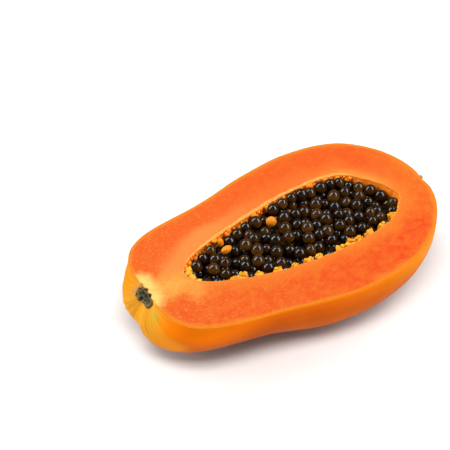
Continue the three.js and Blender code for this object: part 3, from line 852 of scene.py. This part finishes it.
def waxy_skin():
    """Ripe papaya skin, thin, smooth and waxy: yellow-orange with fine lengthwise streaks, painted lighter
    towards the cut as light and deeper orange lower down as shade, greener and greyer round the stem. A soft
    sheen from its bloom of wax."""
    material, tree, shader = finish("ripe_papaya_skin_waxy")
    where = add(tree, COORDS, take="Object")
    lay = add(tree, MASK, attribute_name="lay", take="Vector")
    along, _, height = add(tree, AXES, {0: where}, take=slice(3))
    # streaks 2 mm wide and 20 mm long, clouds 30 mm across, pores 0.7 mm apart
    stretch = add(tree, VECTOR, {0: lay, 1: (0.05, 0.6, 0.0)}, **TIMES)
    streak, cloud = (
        add(tree, NOISE, {"Vector": at, "Scale": scale, "Detail": 4, "Roughness": rough})
        for at, scale, rough in ((stretch, 1.0, 0.6), (where, 32, 0.55))
    )
    pores = add(tree, NOISE, {"Vector": where, "Scale": 1400, "Detail": 2})
    # clouded tones: for the lower skin towards the stem and towards the blossom, and a lighter one under the
    # cut, which is painted light
    left, right, high = (
        add(tree, RAMP, {0: cloud}, stops=[(0.3, deep), (0.7, pale)])
        for deep, pale in (("#913a03", "#a04503"), ("#af4a03", "#bd5803"), ("#c85003", "#d65e03"))
    )
    halfway = add(tree, SPAN, {0: along, 1: -0.045, 2: -0.01}, **EASED)
    low = add(tree, MIX, {0: halfway, 6: left, 7: right}, **COLOUR)
    # painted light and shade: the lighter tone takes over in a cloudy band below the cut, leaving the skin
    # darker lower down
    patchy = add(tree, MATH, {0: cloud, 1: 0.012, 2: height}, **TIMES_PLUS)
    painted_light_rimward = add(tree, SPAN, {0: patchy, 1: 0.037, 2: 0.052}, **EASED)
    soft = add(tree, SPAN, {0: streak, 1: 0.35, 2: 0.75, 3: 0.0, 4: 0.3})
    # golden along the rim towards the blossom end, in streaks, only within the painted light below the cut
    golden = add(tree, SPAN, {0: along, 1: 0.0, 2: 0.05}, **EASED)
    streaky = add(tree, SPAN, {0: streak, 1: 0.3, 2: 0.65, 3: 0.35, 4: 1.0})
    for share in (painted_light_rimward, streaky):
        golden = add(tree, MATH, {0: golden, 1: share}, **TIMES)
    # a yellow-orange line under the cut, partly its own colour and partly a painted highlight along the top
    # of the skin
    yellow_line_and_highlight = add(tree, SPAN, {0: height, 1: 0.045, 2: 0.0467, 3: 0.0, 4: 0.5}, **EASED)
    upper_highlight = add(tree, SPAN, {0: height, 1: 0.040, 2: 0.047, 3: 0.0, 4: 0.3}, **EASED)
    yellow_line_and_highlight = add(tree, MATH, {0: yellow_line_and_highlight, 1: upper_highlight}, operation="ADD")
    # stem end: bright orange, painted darker lower down as shade, then ochre with pale lengthwise streaks
    # round the scar
    shoulder = add(tree, SPAN, {0: along, 1: -0.03, 2: -0.072}, **EASED)
    # painted shade: the shoulder darkens towards the bottom
    lower = add(tree, SPAN, {0: height, 1: 0.040, 2: 0.028})
    bright = add(tree, MIX, {0: lower, 6: "#f47903", 7: "#b45503"}, **COLOUR)
    tone = low
    for share, colour in (
        (painted_light_rimward, high), (soft, "#c66505"), (golden, "#cf840a"), (yellow_line_and_highlight, "#e87908"), (shoulder, bright),
    ):
        tone = add(tree, MIX, {0: share, 6: tone, 7: colour}, **COLOUR)
    ochre = add(tree, RAMP, {0: streak}, stops=[(0.35, "#cd820a"), (0.55, "#d49121"), (0.75, "#d4a655")])
    # patches: middle, where they end and where they are full, in metres, how full, and colour
    for middle, end, full, amount, colour in (
        ((-0.084, 0.0, 0.036), 0.026, 0.012, 1.0, ochre),
        ((-0.0785, -0.0195, 0.029), 0.014, 0.004, 0.75, "#e88e15"),
        ((-0.082, -0.0095, 0.0425), 0.0055, 0.002, 0.75, "#b5982c"),
        ((-0.0805, 0.0085, 0.0445), 0.005, 0.001, 0.6, "#c6a668"),
        ((-0.080, 0.0105, 0.041), 0.0045, 0.001, 0.6, "#c6844e"),
    ):
        away = add(tree, VECTOR, {0: where, 1: middle}, operation="DISTANCE", take=1)
        share = add(tree, SPAN, {0: away, 1: end, 2: full, 3: 0.0, 4: amount}, **EASED)
        tone = add(tree, MIX, {0: share, 6: tone, 7: colour}, **COLOUR)
    bump = add(tree, BUMP, {"Height": pores, "Strength": 0.12, "Distance": 0.0003})
    feed(tree, shader, {
        "Base Color": tone, "Roughness": 0.5, "Specular IOR Level": 0.015, "Subsurface Weight": 0.12,
        "Subsurface Radius": (1.0, 0.4, 0.1), "Subsurface Scale": 0.003, "Normal": bump,
    })
    return material


def cut_rind():
    """The skin layer where the knife went through it: moist, with a soft shine, and yellow-orange."""
    material, tree, shader = finish("papaya_rind_cut")
    where = add(tree, COORDS, take="Object")
    # blotches 2.4 mm across
    grain = add(tree, NOISE, {"Vector": where, "Scale": 420, "Detail": 3})
    tone = add(tree, RAMP, {0: grain}, stops=[(0.35, "#bc6610"), (0.7, "#c3741b")])
    # cream at the stem
    away = add(tree, VECTOR, {0: where, 1: (-0.078, 0.0025, 0.047)}, operation="DISTANCE", take=1)
    cream = add(tree, SPAN, {0: away, 1: 0.013, 2: 0.006}, **EASED)
    tone = add(tree, MIX, {0: cream, 6: tone, 7: "#cda659"}, **COLOUR)
    feed(tree, shader, {"Base Color": tone, "Roughness": 0.4, "Specular IOR Level": 0.05})
    return material


def spongy_placenta(name, pale, deep, sunk):
    """Spongy tissue that held the seeds, torn open: moist crumbs, each a little lighter or deeper."""
    material, tree, shader = finish(name)
    where = add(tree, COORDS, take="Object")
    tint = add(tree, MASK, attribute_name="tint", take="Fac")
    # spongy grain of 1.1 mm
    grain = add(tree, NOISE, {"Vector": where, "Scale": 900, "Detail": 3})
    mixed = add(tree, MATH, {0: tint, 1: 0.5, 2: grain}, **TIMES_PLUS)
    tone = add(tree, RAMP, {0: mixed}, stops=[(0.1, sunk), (0.45, deep), (0.95, pale)])
    bump = add(tree, BUMP, {"Height": grain, "Strength": 0.5, "Distance": 0.0004})
    feed(tree, shader, {
        "Base Color": tone, "Roughness": 0.42, "Subsurface Weight": 0.5,
        "Subsurface Radius": (1.0, 0.5, 0.2), "Subsurface Scale": 0.002, "Specular IOR Level": 0.15,
        "Normal": bump,
    })
    return material


def gel_seed():
    """Papaya seed in its gel coat: near-black seed under wet clear gel, painted olive brown on the side away
    from the light as if lit through the gel, and mirroring the light in sharp streaks."""
    material, tree, shader = finish("papaya_seed_gel_coat")
    where = add(tree, COORDS, take="Object")
    tint, under = (add(tree, MASK, attribute_name=name, take="Fac") for name in ("tint", "under"))
    # ridges of the dark seed under the gel, 1.2 mm apart
    ridge = add(tree, NOISE, {"Vector": where, "Scale": 800, "Detail": 3, "Roughness": 0.6})
    # painted light: olive brown on the side away from the light, as light through the gel, more on lighter
    # seeds and broken by the ridges
    painted_glow = add(tree, SPAN, {0: under, 1: -0.45, 2: 0.95}, **EASED)
    amount = add(tree, SPAN, {0: tint, 1: 0.25, 2: 1.0, 3: 0.18, 4: 0.9})
    broken = add(tree, SPAN, {0: ridge, 1: 0.35, 2: 0.65, 3: 0.55, 4: 1.0})
    for share in (amount, broken):
        painted_glow = add(tree, MATH, {0: painted_glow, 1: share}, **TIMES)
    body = add(tree, RAMP, {0: tint}, stops=[(0.2, "#070301"), (0.6, "#120902"), (1.0, "#2a1903")])
    tone = add(tree, MIX, {0: painted_glow, 6: body, 7: "#8a5205"}, **COLOUR)
    rim = add(tree, MIX, {0: amount, 6: "#000000", 7: "#b06a08"}, **COLOUR)
    bump = add(tree, BUMP, {"Height": ridge, "Strength": 0.2, "Distance": 0.0003})
    feed(tree, shader, {
        "Base Color": tone, "Roughness": 0.16, "IOR": 1.42, "Sheen Tint": rim, "Sheen Weight": 0.35,
        "Sheen Roughness": 0.5, "Normal": bump,
    })
    return material


def seed_pulp_painted_shade():
    """Wet pulp between the seeds: almost black as painted shade, with amber threads of its own."""
    material, tree, shader = finish("papaya_seed_pulp")
    where = add(tree, COORDS, take="Object")
    # patches 3 mm across
    patch = add(tree, NOISE, {"Vector": where, "Scale": 330, "Detail": 4, "Roughness": 0.65})
    # painted shade: near black, with dark brown and amber threads
    tone = add(tree, RAMP, {0: patch}, stops=[(0.52, "#070301"), (0.62, "#2c1803"), (0.72, "#a8680c")])
    feed(tree, shader, {"Base Color": tone, "Roughness": 0.5, "Specular IOR Level": 0.1})
    return material


def corky_scar(name, light, middle, dark):
    """Dried cork where a stem or flower came off: rough, matt and olive brown, with painted light on its
    folds and painted shade, nearly black, in its pits."""
    material, tree, shader = finish(name)
    where = add(tree, COORDS, take="Object")
    lift = add(tree, MASK, attribute_name="lift", take="Fac")
    # cork grain of 0.9 mm
    grain = add(tree, NOISE, {"Vector": where, "Scale": 1100, "Detail": 4, "Roughness": 0.7})
    # painted light and shade: lighter where the relief stands up, darker in its creases and pits
    grain_and_relief_shade = add(tree, MATH, {0: lift, 1: 0.35, 2: grain}, **TIMES_PLUS)
    tone = add(tree, RAMP, {0: grain_and_relief_shade}, stops=[(0.2, dark), (0.42, middle), (0.75, light)])
    bump = add(tree, BUMP, {"Height": grain, "Strength": 0.7, "Distance": 0.0005})
    feed(tree, shader, {"Base Color": tone, "Roughness": 0.8, "Normal": bump})
    return material


# ---- camera, light and floor ----


def camera():
    """Looks from the set direction at the middle of the cut face, turned so that point falls on its pixel."""
    back = Vector((
        math.sin(CAMERA_TURN) * math.cos(CAMERA_RISE),
        -math.cos(CAMERA_TURN) * math.cos(CAMERA_RISE),
        math.sin(CAMERA_RISE),
    ))
    right = Vector((math.cos(CAMERA_TURN), math.sin(CAMERA_TURN), 0))
    up = back.cross(right)
    across, down = (pixel - FRAME / 2 for pixel in MIDDLE_PIXEL)
    forward = (-back - right * across / FOCUS_PIXELS + up * down / FOCUS_PIXELS).normalized()
    right = (right - forward * right.dot(forward)).normalized()
    up = right.cross(forward)
    middle = Vector(place(LENGTH / 2, 0, 0) / 1000)
    data = bpy.data.cameras.new("camera")
    data.sensor_width = SENSOR
    data.lens = FOCUS_PIXELS * SENSOR / FRAME
    data.clip_end = 20
    eye = bpy.data.objects.new("camera", data)
    turn = Matrix((right, up, -forward)).transposed().to_4x4()
    eye.matrix_world = Matrix.Translation(middle + back * CAMERA_DISTANCE / 1000) @ turn
    bpy.context.scene.collection.objects.link(eye)
    bpy.context.scene.camera = eye


def softbox(name, start, end, width, power):
    """A soft box that runs from start to end, in metres, and faces the middle of the cut face."""
    start, end = Vector(start), Vector(end)
    middle = (start + end) / 2
    long = (end - start).normalized()
    back = middle - Vector((0, 0, CUT_HEIGHT / 1000))
    back = (back - long * back.dot(long)).normalized()
    data = bpy.data.lights.new(name, "AREA")
    data.shape = "RECTANGLE"
    data.size, data.size_y = width, (end - start).length
    data.energy = power
    turn = Matrix((long.cross(back), long, back)).transposed().to_4x4()
    box = bpy.data.objects.new(name, data)
    box.matrix_world = Matrix.Translation(middle) @ turn
    bpy.context.scene.collection.objects.link(box)
    return box


def studio():
    """Paper floor that the light turns white, dim white surroundings and three soft boxes: a strip behind on
    the left, one in front on the right, and one that lights the paper alone, for a close dark shadow."""
    world = bpy.data.worlds.new("studio")
    world.use_nodes = True
    feed(world.node_tree, world.node_tree.nodes["Background"], {"Color": "#ffffff", "Strength": SURROUND})
    bpy.context.scene.world = world
    boxes = [softbox(*values) for values in SOFTBOXES]
    corners = [(x * FLOOR_HALF, y * FLOOR_HALF, -FLOOR_GAP) for x, y in ((-1, -1), (1, -1), (1, 1), (-1, 1))]
    floor = bpy.data.meshes.new("floor")
    floor.from_pydata(corners, [], [(0, 1, 2, 3)])
    material, tree, shader = finish("white_paper")
    feed(tree, shader, {"Base Color": "#aaa5a3", "Roughness": 0.9})
    floor.materials.append(material)
    paper = bpy.data.objects.new("floor", floor)
    bpy.context.scene.collection.objects.link(paper)
    lit = bpy.data.collections.new("lit_by_floor_fill")
    lit.objects.link(paper)
    boxes[-1].light_linking.receiver_collection = lit
    bpy.context.scene.view_settings.view_transform = "Standard"


# ---- the scene ----


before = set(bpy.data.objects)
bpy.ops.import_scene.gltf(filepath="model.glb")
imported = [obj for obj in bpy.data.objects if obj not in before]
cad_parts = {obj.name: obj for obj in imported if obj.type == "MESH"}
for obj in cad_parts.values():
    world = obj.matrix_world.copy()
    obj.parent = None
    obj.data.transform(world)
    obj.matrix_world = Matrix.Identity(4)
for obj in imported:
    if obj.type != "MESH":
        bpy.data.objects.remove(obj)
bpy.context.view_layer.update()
camera()
studio()

lining = spongy_placenta("papaya_cavity_lining", "#eea24a", "#ee7d14", "#e6710f")
skin_piece = rind(waxy_skin(), cut_rind())
flesh_piece = flesh(ripe_flesh(), lining)
crumbs = placenta(spongy_placenta("papaya_placenta_crumbs", "#e2a02a", "#d67c0c", "#e27a16"))
heap = seeds(gel_seed())
pulp_shade_floor = pulp(seed_pulp_painted_shade())
unripe = spongy_placenta("papaya_unfilled_seed", "#e09c29", "#d57c10", "#d57c10")
pale = [pale_seed(number, unripe) for number in range(len(PALE_SEEDS))]
scar = stem_scar(corky_scar("papaya_stem_scar_cork", "#8b7b43", "#453a19", "#120c06"))
nub = blossom_scar(corky_scar("papaya_blossom_scar_cork", "#b19956", "#927434", "#513c1b"))

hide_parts("fruit_half")
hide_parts("seeds")
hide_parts("stem_scar")
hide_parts("blossom_scar")
for number, piece in enumerate(pale):
    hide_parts(f"pale_seed_{number + 1}")
